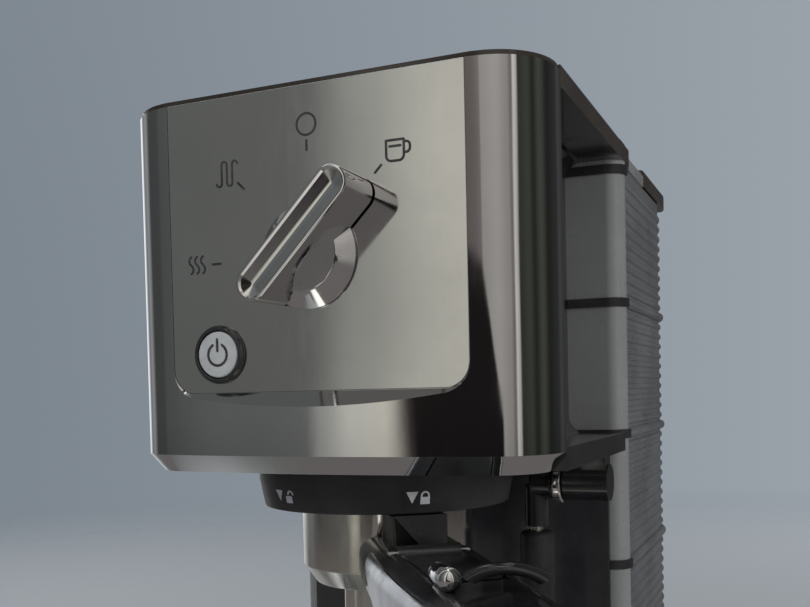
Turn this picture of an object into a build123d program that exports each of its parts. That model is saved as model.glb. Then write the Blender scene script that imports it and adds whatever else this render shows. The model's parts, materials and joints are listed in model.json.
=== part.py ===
"""A slim pump espresso machine: chrome front, selector knob, steam wand, ribbed rear body.

+X is to the right of someone who stands in front, +Y goes to the back, +Z is up. The origin is on
the counter, on the centre plane, under the front wall of the rear body.
"""
import os
from math import cos, radians, sin

from build123d import *

# Driving dimensions, in millimetres
halfWidth = 75.0          # half of the machine's width
topZ = 302.0              # top of the cover over the head
headDepth = 124.0         # control plate to the front wall of the rear body
headHeight = 124.0        # underside of the head to the top
rearDepth = 132.0         # front wall of the rear body to its back
dialHeight = 4.0          # the disc under the knob bar
bulge = 4.0               # how far the chrome front bows out in front of the flat plate
cornerRadius = 22.0       # upright corners of the chrome front
wall = 2.6                # moulded walls
gap = 0.3                 # clearance between pieces that move past each other
handleAngle = 38.0        # how far the locked handle points to the right of straight ahead
ribsPerHoop = 11          # rib spacings between one hoop and the next

# Heights worked out from them
coverThickness = 6.6
maskTopZ = topZ - 1.7
headBottomZ = topZ - headHeight
floorTopZ = headBottomZ + 7.4
ceilingZ = topZ - coverThickness
hoopStep = 53.5
hoopTopZ = topZ - 10.4
hoopHeights = [hoopTopZ - hoopStep * k for k in range(6)]
footHeight = 4.0
basePlateTopZ = footHeight + 4.0
baseTopZ = 46.0

# Places along Y
plateY = -headDepth
maskFrontY = plateY - bulge
maskRearY = plateY + 24.0
groupY = plateY + 55.0
steamY = plateY + 92.0
baseFrontY = maskFrontY - 4.0
trayJointY = baseFrontY + 22.0

# Control plate
plateHalfWidth = 52.5
plateBottomZ = topZ - 97.5
plateThickness = 1.6
dialZ = topZ - 55.2
iconRadius = 41.0
buttonX, buttonZ = -34.0, topZ - 84.9

# Group and portafilter
collarTopRadius, collarBottomRadius = 46.5, 44.5
collarBottomZ = headBottomZ - 14.0
collarBore = 37.0
bowlRadius = 31.2
bowlTopZ = collarBottomZ + 8.6
bowlBottomZ = topZ - 166.5
handleEnd = 182.0
clipReach, clipZ = 54.0, 153.0   # the clip's pin, across the top of the handle

# Steam wand
steamZ = topZ - 134.0
steamX = 44.5
wandTipZ = baseTopZ + 22.0

# Rear body and tank
coverRearY = 17.0
lidFrontY = 54.0
lidRearY = rearDepth + 6.0
ribBase = halfWidth - 0.9
skinFrontY = 8.0          # where the ribbed skin meets the front wall
skinThickness = 1.7
rearCorner = 32.0
tankFloorZ = 36.0
lidBottomZ = topZ - 7.4
hingeY, hingeZ = lidRearY - 2.5, topZ - 2.5
glandX, glandZ = -42.0, 23.0


def block(x0, x1, y0, y1, z0, z1):
    centre = Pos((x0 + x1) / 2, (y0 + y1) / 2, (z0 + z1) / 2)
    return centre * Box(abs(x1 - x0), abs(y1 - y0), abs(z1 - z0))


def upright(radius, z0, z1, x=0.0, y=0.0):
    return Pos(x, y, (z0 + z1) / 2) * Cylinder(radius, abs(z1 - z0))


def along_y(radius, y0, y1, x, z):
    return Pos(x, (y0 + y1) / 2, z) * Rot(90, 0, 0) * Cylinder(radius, abs(y1 - y0))


def along_x(radius, x0, x1, y, z):
    return Pos((x0 + x1) / 2, y, z) * Rot(0, 90, 0) * Cylinder(radius, abs(x1 - x0))


def raised(face, z0, z1):
    return extrude(Pos(0, 0, z0) * face, amount=z1 - z0)


def turned(*points):
    """A solid of revolution about the Z axis through the origin, from (radius, height) points."""
    outline = make_face(Plane.XZ * Polyline(*points, close=True))
    return revolve(outline, axis=Axis.Z)


def bowed_outline(front, rear, half, radius, inset=0.0):
    """Plan of a bowed front with two round corners, cut off straight at the rear."""
    side_y = front + bulge * (half / plateHalfWidth) ** 2
    long_rear = rear + 2 * radius
    edges = [
        Line((-half, long_rear), (-half, side_y)),
        ThreePointArc((-half, side_y), (0, front), (half, side_y)),
        Line((half, side_y), (half, long_rear)),
        Line((half, long_rear), (-half, long_rear)),
    ]
    face = make_face(Curve() + edges)
    face = fillet([v for v in face.vertices() if v.Y < rear], radius)
    face = face & (Pos(0, (front + rear) / 2 - 10) * Rectangle(4 * half, rear - front + 20))
    if inset:
        face = offset(face, amount=-inset)
    return face


def rear_outline(half, front, rear, front_radius, rear_radius):
    """Plan of a rear body piece, with its own radius on the front and the rear corners."""
    face = Pos(0, (front + rear) / 2) * Rectangle(2 * half, rear - front)
    middle = (front + rear) / 2
    face = fillet([v for v in face.vertices() if v.Y > middle], rear_radius)
    if front_radius:
        face = fillet([v for v in face.vertices() if v.Y < front + 1e-3], front_radius)
    return face


# ---- head ----

def head_front_shell():
    """Chrome front that wraps round both corners, with a recess that takes the control plate."""
    shell = raised(bowed_outline(maskFrontY, maskRearY, halfWidth, cornerRadius), headBottomZ, maskTopZ)
    foot = [e for e in shell.edges().group_by(Axis.Z)[0] if e.center().Y < maskRearY - 0.1]
    shell = chamfer(foot, 6.0, 5.0)
    seat = bowed_outline(maskFrontY, maskRearY, halfWidth, cornerRadius, inset=11.0)
    seat_rear = block(-64, 64, maskRearY - 12, maskRearY + 1, headBottomZ - 1, floorTopZ)
    shell -= raised(seat, headBottomZ - 1, floorTopZ) + seat_rear
    hollow = bowed_outline(maskFrontY, maskRearY + 1, halfWidth, cornerRadius, inset=3.4)
    hollow &= Pos(0, maskRearY) * Rectangle(4 * halfWidth, 2 * (maskRearY - plateY - 4.6))
    shell -= raised(hollow, floorTopZ - 4, maskTopZ + 1)
    shell -= block(-69.0, 69.0, maskRearY - 6, maskRearY + 1, floorTopZ - 4, maskTopZ + 1)
    shell -= plate_recess()
    shell -= along_y(4.2, maskFrontY - 1, maskRearY, 0, dialZ)
    shell -= along_y(8.4, maskFrontY - 1, maskRearY, buttonX, buttonZ)
    return shell


def plate_outline(half, bottom, radius, top=None):
    top = maskTopZ if top is None else top
    face = Pos(0, (bottom + top) / 2) * Rectangle(2 * half, top - bottom)
    middle = (bottom + top) / 2
    return fillet([v for v in face.vertices() if v.Y < middle], radius)


def plate_recess():
    """The flat seat, and the sloping ledge below the plate, deepest in the middle of the bow."""
    half, bottom = plateHalfWidth + 0.1, plateBottomZ - 0.1
    seat = Plane.XZ.offset(-(plateY + plateThickness)) * plate_outline(half, bottom, 8.0, maskTopZ + 5)
    slope = Plane.XZ.offset(-plateY) * plate_outline(half, bottom, 8.0, maskTopZ + 25)
    return extrude(seat, amount=plateThickness) + extrude(slope, amount=6.0, taper=-50)


def front_plate():
    """Flat polished plate that carries the knob, the power button and the marks."""
    face = Plane.XZ.offset(-(plateY + plateThickness)) * plate_outline(plateHalfWidth, plateBottomZ, 7.9)
    plate = extrude(face, amount=plateThickness)
    plate -= along_y(3.08, plateY - 1, plateY + 3, 0, dialZ)
    plate -= along_y(8.4, plateY - 1, plateY + 3, buttonX, buttonZ)
    return plate


def stroke(points, width=0.75):
    """A line of constant width with round ends, drawn in the plane of the plate."""
    pieces = []
    for (x0, z0), (x1, z1) in zip(points, points[1:]):
        if (x1 - x0) ** 2 + (z1 - z0) ** 2 > width * width * 0.01:
            pieces.append(SlotCenterPoint(((x0 + x1) / 2, (z0 + z1) / 2), (x1, z1), width))
    return pieces


def arc_points(cx, cz, radius, start, end, steps=8):
    span = [start + (end - start) * k / steps for k in range(steps + 1)]
    return [(cx + radius * cos(radians(a)), cz + radius * sin(radians(a))) for a in span]


def plate_marks():
    """Pictograms round the knob: off, heating, cup and steam, each with a tick that points at it."""
    faces = []
    for bearing in (0.0, -45.0, 45.0, -90.0):
        a = radians(90.0 - bearing)
        faces += stroke([(r * cos(a), dialZ + r * sin(a)) for r in (33.0, 36.0)])
    offZ = dialZ + iconRadius
    faces += [Pos(0, offZ) * (Circle(3.7) - Circle(3.0))]
    d = iconRadius * sin(radians(45.0))
    x, z = -d - 0.6, dialZ + d - 0.2
    heat = []
    for k, (low, start, end) in enumerate(((-3, 180, 360), (3, 180, 0), (-3, 180, 360), (3, 180, 0))):
        heat += arc_points(x - 3.0 + 2.0 * k, z + low, 1.0, start, end, 6)
    faces += stroke(heat, 0.65)
    x, z = d + 1.6, dialZ + d + 0.4
    cup = [(x - 3.4, z + 3.0), (x - 3.4, z - 1.6)] + arc_points(x - 1.8, z - 1.6, 1.6, 180, 270, 4)
    cup += arc_points(x + 0.8, z - 1.6, 1.6, 270, 360, 4) + [(x + 2.4, z + 3.0), (x - 3.4, z + 3.0)]
    faces += stroke(cup) + stroke([(x - 2.3, z + 1.2), (x + 1.3, z + 1.2)])
    grip = [(x + 2.4, z + 2.2), (x + 3.2, z + 2.2)] + arc_points(x + 3.2, z + 1.0, 1.2, 90, 0, 4)
    faces += stroke(grip + arc_points(x + 3.2, z + 0.2, 1.2, 0, -90, 4) + [(x + 2.4, z - 1.0)])
    x, z = -iconRadius - 0.4, dialZ
    for k in (-1, 0, 1):
        wave = arc_points(x + 2.3 * k, z + 1.6, 1.6, 120, 240, 4)
        faces += stroke(wave + arc_points(x + 2.3 * k - 1.6, z - 1.2, 1.6, 60, -60, 4), 0.65)
    marks = None
    for face in faces:
        solid = extrude(Plane.XZ.offset(-plateY) * face, amount=0.12)
        marks = solid if marks is None else marks + solid
    return marks


def dial_form():
    """Disc with a wide cone round its flat middle, about the knob's axis."""
    disc = turned((0, 0), (16.6, 0), (16.8, 0.6), (11.4, dialHeight), (0, dialHeight))
    return Pos(0, plateY - gap, 0) * Rot(90, 0, 0) * disc


def knob_dial():
    """Low chrome disc under the knob bar."""
    return Pos(0, 0, dialZ) * dial_form() - along_y(3.0, plateY - 5, plateY + 1, 0, dialZ)


def knob_bar():
    """Thick pointer bar with round ends and a hollow channel along its front face."""
    long_up, long_down, width, rim = 30.0, 19.0, 10.6, 2.3
    back, front = plateY - 1.0, plateY - 19.0
    middle = (long_up - long_down) / 2
    outline = Pos(0, middle) * Rot(0, 0, 90) * SlotOverall(long_up + long_down, width)
    bar = extrude(Plane.XZ.offset(-back) * outline, amount=back - front) - dial_form()
    channel = Pos(0, middle) * Rot(0, 0, 90) * SlotOverall(long_up + long_down - 2 * rim, width - 2 * rim)
    bar -= extrude(Plane.XZ.offset(-(front + 1.2)) * channel, amount=2)
    bar -= along_y(3.0, front + 6, plateY, 0, 0)
    return Pos(0, 0, dialZ) * Rot(0, 45, 0) * bar


def knob_shaft():
    return along_y(3.0, plateY - 12.9, plateY + 14.0, 0, dialZ)


def power_button_ring():
    ring = along_y(9.6, plateY - 3.6, plateY, buttonX, buttonZ)
    ring = chamfer(ring.edges().sort_by(Axis.Y)[0], 1.0)
    return ring - along_y(7.9, plateY - 5, plateY + 1, buttonX, buttonZ)


def power_button_cap():
    cap = along_y(7.6, plateY - 3.4, plateY + 1.4, buttonX, buttonZ)
    cap = fillet(cap.edges().sort_by(Axis.Y)[0], 0.7)
    return cap + along_y(2.6, plateY + 1.4, plateY + 3.4, buttonX, buttonZ)


def power_button_mark():
    face = stroke(arc_points(0, 0, 3.6, 120, 420, 14), 0.8)
    face += stroke([(0, 1.2), (0, 5.0)], 0.8)
    mark = None
    for part in face:
        solid = extrude(Plane.XZ.offset(-(plateY - 3.4)) * (Pos(buttonX, buttonZ) * part), amount=0.12)
        mark = solid if mark is None else mark + solid
    return mark


def top_cover():
    """Cover over the head, flush with the sides, with a low rail at its rear end."""
    front = bowed_outline(maskFrontY, maskRearY, halfWidth, cornerRadius, inset=0.8)
    front &= Pos(0, plateY + 1 + 50) * Rectangle(4 * halfWidth, 100)
    cover = raised(front, maskTopZ, topZ)
    cover += block(-halfWidth, halfWidth, maskRearY + 0.05, coverRearY, ceilingZ, topZ)
    cover += block(-74, 74, maskRearY - 1, maskRearY + 3, maskTopZ, topZ)
    rail = block(-halfWidth + 1, halfWidth - 1, coverRearY - 14, coverRearY - 3, topZ - 0.2, topZ + 1.7)
    return cover + rail


def head_neck():
    """Narrow housing behind the chrome front; its sides curve out to meet the cover and the floor."""
    half, flare = 52.0, 7.0
    neck = block(-half, half, maskRearY + 0.1, 0, floorTopZ, ceilingZ)
    for side in (-1, 1):
        for z, edge in ((ceilingZ - flare, ceilingZ), (floorTopZ + flare, floorTopZ)):
            corner = block(side * half, side * (half + flare), maskRearY + 0.1, 0, min(z, edge), max(z, edge))
            neck += corner - along_y(flare, maskRearY - 1, 1, side * (half + flare), z)
    # the front flange closes the back of the chrome front
    neck += block(-68.8, 68.8, maskRearY - 3.0, maskRearY + 0.1, floorTopZ + 0.1, ceilingZ)
    neck -= block(-half + wall, half - wall, maskRearY - 4, -wall, floorTopZ - 1, ceilingZ + 1)
    return neck - block(-40, 40, -wall - 1, 1, floorTopZ + 12, ceilingZ - 12)


def head_floor():
    """Thick black shelf under the head that carries the group."""
    floor = block(-halfWidth, halfWidth, maskRearY + 0.1, 0, headBottomZ, floorTopZ)
    front = bowed_outline(maskFrontY, maskRearY, halfWidth, cornerRadius, inset=11.4)
    floor += raised(front, headBottomZ, floorTopZ - 0.2)
    floor += block(-60, 60, maskRearY - 12, maskRearY + 1, headBottomZ, floorTopZ - 0.2)
    return floor - upright(collarBore, headBottomZ - 1, floorTopZ + 1, 0, groupY)


# ---- group ----

def sector(radius, start, end, z0, z1):
    """A pie slice about the group's axis; angles are measured from +X."""
    turns = [radians(a) for a in (start, (start + end) / 2, end)]
    points = [(0, 0)] + [(radius * cos(a), radius * sin(a)) for a in turns]
    return raised(make_face(Polyline(*points, close=True)), z0, z1)


def group_collar():
    """Black ring round the brew head, with the ledge that the portafilter's lugs lock over."""
    ledge = 34.6
    ring = turned(
        (collarBore, headBottomZ), (collarTopRadius, headBottomZ), (collarTopRadius, headBottomZ - 4),
        (collarBottomRadius, collarBottomZ), (ledge, collarBottomZ), (ledge, collarBottomZ + 1.6),
        (collarBore, collarBottomZ + 1.6),
    )
    for turn in (0, 180):
        way_in = sector(50, turn - 22, turn + 22, collarBottomZ - 1, collarBottomZ + 1.6)
        ring -= way_in & upright(collarBore, 0, 400)
    return Pos(0, groupY, 0) * ring


def collar_marks():
    """Pointers and padlocks on the collar at the open and the locked position."""
    marks = None
    mid = headBottomZ - 8.6
    for pointer, lock, shackle, foot in ((-28.5, -22.0, 1.0, 0.5), (34.5, 40.0, 0.0, 0.0)):
        triangle = make_face(Polyline((-2.0, 1.9), (2.0, 1.9), (0, -1.9), close=True))
        body = Pos(0, -1.1) * Rectangle(3.2, 2.4)
        bow = Pos(shackle, 0.5) * (Circle(1.55) - Circle(0.95))
        bow = bow & (Pos(shackle, foot + 1.5) * Rectangle(4, 3.0))
        for angle, face in ((pointer, triangle), (lock, body), (lock, bow)):
            solid = extrude(Plane.XZ.offset(collarBottomRadius - 2.5) * face, amount=8)
            solid = Rot(0, 0, angle) * Pos(0, 0, mid) * solid
            marks = solid if marks is None else marks + solid
    printed = collar_cone(0.12) - collar_cone(0.0)
    return Pos(0, groupY, 0) * (marks & printed)


def collar_cone(grow):
    """The collar's outer face below its upright rim, moved out by a little."""
    rim = headBottomZ - 4.0
    return turned((0, rim), (collarTopRadius + grow, rim), (collarBottomRadius + grow, collarBottomZ),
                  (0, collarBottomZ))


def group_head():
    """Cast brew head that closes the group from above."""
    low = bowlTopZ + 1.1 + 3.0
    head = upright(collarBore - 0.1, low, floorTopZ + 6, 0, groupY)
    head += upright(24, floorTopZ + 6, floorTopZ + 16, 0, groupY)
    return head - upright(3, low - 1, floorTopZ + 17, 0, groupY)


def group_gasket():
    low = bowlTopZ + 1.1
    ring = upright(35.2, low, low + 3.0, 0, groupY) - upright(28.4, low - 1, low + 4, 0, groupY)
    return ring


def shower_screen():
    low = bowlTopZ + 1.1 + 1.4
    screen = upright(27.8, low, low + 1.6, 0, groupY)
    for ring, count in ((8, 8), (14, 14), (20, 20)):
        for k in range(count):
            a = radians(360 * k / count)
            screen -= upright(0.8, low - 1, low + 3, ring * cos(a), groupY + ring * sin(a))
    return screen


def screen_screw():
    low = bowlTopZ + 1.1 + 1.4
    return upright(4.2, low - 1.2, low, 0, groupY)


# ---- portafilter, modelled pointing straight ahead (-Y) from the group's axis ----

def placed_handle(shape):
    return Pos(0, groupY, 0) * Rot(0, 0, handleAngle) * shape


def portafilter_bowl():
    """Polished cup with a chamfered foot and two lugs at its rim."""
    inner = bowlRadius - 2.0
    cup = turned(
        (4.0, bowlBottomZ), (26.6, bowlBottomZ), (bowlRadius, bowlBottomZ + 6.6), (bowlRadius, bowlTopZ),
        (inner, bowlTopZ), (inner, bowlBottomZ + 8.0), (inner - 5, bowlBottomZ + 3.0),
        (4.0, bowlBottomZ + 3.0),
    )
    lug_low, lug_high = collarBottomZ + 2.0, collarBottomZ + 5.6
    ring = upright(36.4, lug_low, lug_high) - upright(bowlRadius, lug_low - 1, lug_high + 1)
    for turn in (90, 270):
        cup += ring & sector(60, turn - 19, turn + 19, lug_low, lug_high)
    return placed_handle(cup)


def filter_basket():
    lip = bowlTopZ
    basket = turned(
        (0, lip - 23), (27.0, lip - 23), (28.9, lip - 18), (28.9, lip), (31.0, lip), (31.0, lip + 0.8),
        (28.1, lip + 0.8), (28.1, lip - 18), (26.4, lip - 22.2), (0, lip - 22.2),
    )
    for ring, count in ((6, 6), (12, 12), (18, 18)):
        for k in range(count):
            a = radians(360 * k / count)
            basket -= upright(0.6, lip - 24, lip - 21, ring * cos(a), ring * sin(a))
    return placed_handle(basket)


def portafilter_spout():
    """Twin spout: a wide body under the cup that splits into two outlets."""
    high, low = bowlBottomZ, bowlBottomZ - 21.0
    body = raised(SlotOverall(33.4, 13.0), high - 15.0, high)
    for side in (-1, 1):
        outlet = upright(5.0, low, high - 10, side * 10.6, 0)
        outlet -= upright(3.2, low - 1, high - 8, side * 10.6, 0)
        body -= upright(3.2, high - 16, high - 4, side * 10.6, 0)
        body += outlet
    channel = block(-10.6, 10.6, -2.6, 2.6, high - 9, high - 4)
    return placed_handle(body - channel - upright(4.0, high - 6, high + 1))


def neck_block():
    """Square arm that joins the cup to the handle; its top runs just under the collar."""
    arm = block(-9.2, 9.2, -45.0, -24.0, bowlBottomZ + 7.0, collarBottomZ - 0.4)
    arm += block(-7.0, 7.0, -80.0, -44.0, bowlBottomZ + 8.0, bowlBottomZ + 14.0)
    return placed_handle(arm - upright(bowlRadius, 0, 400))


def handle_form(extra=0.0):
    """Loft of the handle: nearly flat on top, deeper and then narrower towards its end."""
    stations = (
        (24.0, 33.0, 17.0, 147.0), (44.0, 36.4, 20.0, 144.0), (76.0, 37.0, 25.0, 140.2),
        (120.0, 35.0, 27.0, 137.4), (160.0, 32.0, 25.0, 136.0), (handleEnd, 28.0, 21.0, 135.4),
    )
    sections = []
    for reach, width, height, centre in stations:
        corner = min(height * 0.38, 8.0)
        face = RectangleRounded(width + extra, height, corner)
        sections.append(Plane.XZ.offset(reach) * (Pos(0, centre) * face))
    return loft(sections)


def handle_core():
    form = handle_form()
    form -= upright(bowlRadius + 0.02, 0, 400)
    form -= block(-9.2, 9.2, -45.0, 0, bowlBottomZ + 7.0, 200)
    form -= block(-7.0, 7.0, -80.0, -44.0, bowlBottomZ + 8.0, bowlBottomZ + 14.0)
    form -= block(-10.7, 10.7, -98.5, 3.5 - clipReach, 151.2, 170)
    form -= along_x(2.9, -10.7, 10.7, -clipReach, clipZ)
    return placed_handle(form - along_x(1.25, -13.5, 13.5, -clipReach, clipZ))


def side_window():
    """Leaf-shaped outline, seen from the side, that the silver bands fill."""
    points = (
        (-44, 152), (-60, 150.6), (-110, 148.4), (-150, 146.0), (-164, 141), (-150, 131), (-110, 127.6),
        (-72, 131), (-52, 142),
    )
    outline = Spline(*points, periodic=True)
    return extrude(Plane.YZ * make_face(outline), amount=60, both=True)


def handle_side_bands():
    """Silver trim on both sides of the handle, standing a little proud of the grip."""
    skin = handle_form(extra=1.4) - handle_form()
    band = skin & side_window()
    band -= block(-12, 12, -200, 0, 100, 200)
    return placed_handle(band)


def basket_clip():
    """Sprung thumb lever, sunk in the top of the handle, that keeps the basket in when it is knocked out."""
    half, top = 10.2, 153.4
    lever = block(-half, half, -95.0, -clipReach, 151.5, top)
    lever = fillet([e for e in lever.edges().filter_by(Axis.Z) if e.center().Y < -90], 6.0)
    lever += along_x(2.5, -half, half, -clipReach, clipZ)
    grip = along_y(2.9, -80.0, -68.0, -5.6, 153.9) + Pos(-5.6, -80.0, 153.9) * Sphere(2.9)
    grip += Pos(-5.6, -68.0, 153.9) * Sphere(2.9)
    grip &= block(-20, 20, -90, -60, top - 1, 170)
    lip = block(-half, half, -95.0, -84.0, top - 0.5, 156.0)
    lip = fillet([e for e in lip.edges().filter_by(Axis.Z) if e.center().Y < -90], 6.0)
    lip = fillet(lip.edges().group_by(Axis.Z)[-1], 1.6)
    return placed_handle((lever + grip + lip) - along_x(1.3, -15, 15, -clipReach, clipZ))


def clip_pin():
    return placed_handle(along_x(1.25, -13.4, 13.4, -clipReach, clipZ))


def handle_cap():
    """Domed plug with the screw that pulls the handle onto its arm."""
    plug = Pos(0, -handleEnd, 135.4) * Rot(90, 0, 0) * Cylinder(6.0, 4.0)
    return placed_handle(chamfer(plug.edges().sort_by(Axis.Y)[0], 1.2) - handle_form())


# ---- steam wand ----

def steam_pivot_housing():
    """Black barrel across the underside of the head, and the block it hangs from."""
    barrel = along_x(7.0, 58.0, halfWidth, steamY, steamZ)
    block_up = block(60.0, halfWidth - 1.0, steamY - 5, steamY + 5, steamZ, headBottomZ)
    return (barrel + block_up) - along_x(3.06, 50, 72, steamY, steamZ)


def steam_pivot_ring():
    ring = along_x(8.4, 54.2, 57.7, steamY, steamZ)
    ring = fillet(ring.edges(), 0.9)
    return ring - along_x(3.06, 50, 60, steamY, steamZ)


def steam_hub():
    """Elbow that turns on the pivot and leads the steam down into the tube."""
    pin = along_x(3.0, 53.9, 71.5, steamY, steamZ)
    barrel = along_x(6.4, 45.0, 53.9, steamY, steamZ)
    barrel = fillet(barrel.edges(), 1.2)
    drop = upright(4.6, steamZ - 17.0, steamZ - 1, steamX + 2.0, steamY)
    return pin + barrel + drop


def steam_tube():
    return upright(2.5, wandTipZ + 12, steamZ - 17.0, steamX + 2.0, steamY)


def steam_grip():
    """Heat-proof sleeve round the upper part of the tube."""
    top, low = steamZ - 19.0, steamZ - 68.0
    sleeve = upright(6.6, low, top, steamX + 2.0, steamY)
    sleeve = fillet(sleeve.edges(), 2.0)
    return sleeve - upright(2.5, low - 1, top + 1, steamX + 2.0, steamY)


def steam_nozzle():
    """Frothing tip with a small hole and an air slot."""
    tip = turned((0, 0), (2.6, 0), (4.2, 2.5), (5.0, 9.0), (5.0, 22.0), (3.6, 26.0), (0, 26.0))
    tip = Pos(steamX + 2.0, steamY, wandTipZ) * tip
    tip -= upright(2.5, wandTipZ + 12, wandTipZ + 30, steamX + 2.0, steamY)
    return tip - upright(0.8, wandTipZ - 1, wandTipZ + 13, steamX + 2.0, steamY)


# ---- rear body ----

def skin_path():
    """Three straight sides joined by two round corners, from the right front to the left front."""
    back = rearDepth - 0.9
    straight, side = back - rearCorner, ribBase - rearCorner
    turn = rearCorner * sin(radians(45))
    return Wire([
        Line((ribBase, skinFrontY), (ribBase, straight)).edge(),
        ThreePointArc((ribBase, straight), (side + turn, straight + turn), (side, back)).edge(),
        Line((side, back), (-side, back)).edge(),
        ThreePointArc((-side, back), (-side - turn, straight + turn), (-ribBase, straight)).edge(),
        Line((-ribBase, straight), (-ribBase, skinFrontY)).edge(),
    ])


def ribbed_skin():
    """Outer skin of the rear body: half-round ribs, and a taller hoop every eleventh place."""
    low, high = basePlateTopZ + 0.2, lidBottomZ - 0.8
    pitch = hoopStep / ribsPerHoop
    edges = []
    z = low
    k = ribsPerHoop * (len(hoopHeights) - 1) + 3
    while k >= -1:
        centre = hoopTopZ - pitch * k
        hoop = k % ribsPerHoop == 0
        reach, half = (2.2, 2.1) if hoop else (0.9, 1.45)
        k -= 1
        if centre - half < low + 0.1 or centre + half > high - 0.1:
            continue
        edges.append(Line((ribBase, z), (ribBase, centre - half)))
        crest = (ribBase + reach, centre)
        edges.append(ThreePointArc((ribBase, centre - half), crest, (ribBase, centre + half)))
        z = centre + half
    edges.append(Line((ribBase, z), (ribBase, high)))
    edges.append(Line((ribBase, high), (ribBase - skinThickness, high)))
    edges.append(Line((ribBase - skinThickness, high), (ribBase - skinThickness, low)))
    edges.append(Line((ribBase - skinThickness, low), (ribBase, low)))
    section = Plane(origin=(0, skinFrontY, 0), x_dir=(1, 0, 0), z_dir=(0, -1, 0)) * make_face(Curve() + edges)
    return sweep(section, path=skin_path()) - gland_hole()


def rear_frame():
    """Moulded body behind the head: front wall, pump bay, and a bay for the tank that opens upwards."""
    half = ribBase - skinThickness - 0.1
    back = rearDepth - 0.9 - skinThickness - 0.1
    corner = rearCorner - skinThickness - 0.1
    frame = raised(rear_outline(half, 4.0, back, 0, corner), basePlateTopZ, lidBottomZ - 0.8)
    frame += raised(rear_outline(halfWidth, 0.0, 7.9, 7.0, 0.5), basePlateTopZ, ceilingZ)
    frame += block(-halfWidth, halfWidth, coverRearY + 0.5, lidFrontY - 0.5, lidBottomZ - 0.8, topZ - 3.5)
    frame -= block(-half + wall, half - wall, wall, lidFrontY - wall - 2, basePlateTopZ - 1, lidBottomZ - 3.4)
    bay = rear_outline(half - wall, lidFrontY, back - wall, 6.0, corner - wall)
    frame -= raised(bay, tankFloorZ - 2.0, 400)
    under = rear_outline(half - wall, lidFrontY, back - wall, 0, corner - wall)
    frame -= raised(under, basePlateTopZ - 1, tankFloorZ - 2.0 - wall)
    frame -= block(-40, 40, -1, wall + 1, floorTopZ + 12, ceilingZ - 12)
    frame -= gland_hole() + block(-22, -6, 48, 55, basePlateTopZ - 1, 19)
    return frame - upright(7.0, tankFloorZ - 20, tankFloorZ, 0, lidFrontY + 18)


def wall_bands():
    """Dark bands on the front wall, in line with the hoops of the ribbed skin."""
    shape = None
    outer = offset(rear_outline(halfWidth, 0.0, 7.9, 7.0, 0.5), amount=1.1)
    inner = rear_outline(halfWidth, 0.0, 7.9, 7.0, 0.5)
    for k, z in enumerate(hoopHeights):
        clear = 52.4 if z > headBottomZ else 68.4
        band = raised(outer, z - 1.8, z + 1.8) - raised(inner, z - 3, z + 3)
        band -= block(-clear, clear, -5, 5, z - 3, z + 3) + block(-90, 90, 7.8, 12, z - 3, z + 3)
        if k == 2:
            band -= block(-90, 90, -5, 0, z - 3, floorTopZ)
        if k == 5:
            band -= block(-90, 90, -5, 0, z - 3, z + 3)
        shape = band if shape is None else shape + band
    return shape - head_neck()


def column_panel():
    """Dark panel on the front of the column, between the base and the head."""
    panel = block(-68.2, 68.2, -1.2, 0, baseTopZ + 0.5, headBottomZ - 0.1)
    return fillet([e for e in panel.edges().filter_by(Axis.Z) if e.center().Y < -1], 0.6)


def body_screws():
    """Screws up through the base plate into the rear body."""
    group = None
    for x in (-60, 60):
        for y in (12, 90):
            screw = upright(3.4, footHeight - 1.4, footHeight, x, y)
            screw += upright(1.6, footHeight, basePlateTopZ, x, y)
            group = screw if group is None else group + screw
    return group


def gland_hole():
    return along_y(6.55, rearDepth - 10, rearDepth + 10, glandX, glandZ)


def cord_gland():
    """Gland at the back where a mains cord would enter."""
    y = rearDepth - 7.0
    gland = along_y(6.5, y, rearDepth + 1.5, glandX, glandZ)
    gland += along_y(4.6, rearDepth + 1.5, rearDepth + 8.0, glandX, glandZ)
    return gland - along_y(3.2, y - 1, rearDepth + 9, glandX, glandZ)


# ---- base and drip tray ----

def base_outline(inset=0.0):
    front = bowed_outline(baseFrontY, trayJointY + 1, halfWidth, cornerRadius)
    rear = rear_outline(halfWidth, trayJointY, rearDepth, 0, rearCorner)
    outline = front + rear
    return offset(outline, amount=-inset) if inset else outline


def base_plate():
    plate = raised(base_outline(0.8), footHeight, basePlateTopZ)
    for x in (-60, 60):
        for y in (12, 90):
            plate -= upright(1.6, 0, 20, x, y)
    return plate


def rubber_feet():
    feet = None
    for x, y in ((-58, -108), (58, -108), (-52, 112), (52, 112), (0, 0)):
        foot = upright(9.0, 0, footHeight, x, y)
        foot = chamfer(foot.edges().sort_by(Axis.Z)[0], 0.8)
        feet = foot if feet is None else feet + foot
    return feet


def base_shell():
    """Tub that the drip tray slides into, open at the front and on top."""
    tub = block(-halfWidth, halfWidth, trayJointY + 0.4, -0.1, basePlateTopZ, baseTopZ)
    tub -= block(-70.6, 70.6, trayJointY, -4.0, basePlateTopZ + 2.6, baseTopZ + 1)
    rims = [e for e in tub.edges().filter_by(Axis.Y) if abs(e.center().X) > halfWidth - 0.1]
    return fillet([e for e in rims if e.center().Z > baseTopZ - 0.1], 2.0)


def tray_outline(inset):
    front = bowed_outline(baseFrontY, trayJointY + 1, halfWidth, cornerRadius, inset=4.2 + inset)
    depth = (-4.6 - inset) - (trayJointY - 6) - inset
    rear = Pos(0, (trayJointY - 6 - 4.6) / 2) * Rectangle(2 * (70.1 - inset), depth)
    return front + rear


def drip_tray():
    floor_z = basePlateTopZ + 3.0
    tray = raised(tray_outline(0.0), floor_z, baseTopZ - 6.0)
    return tray - raised(tray_outline(2.0), floor_z + 2.0, baseTopZ)


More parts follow.
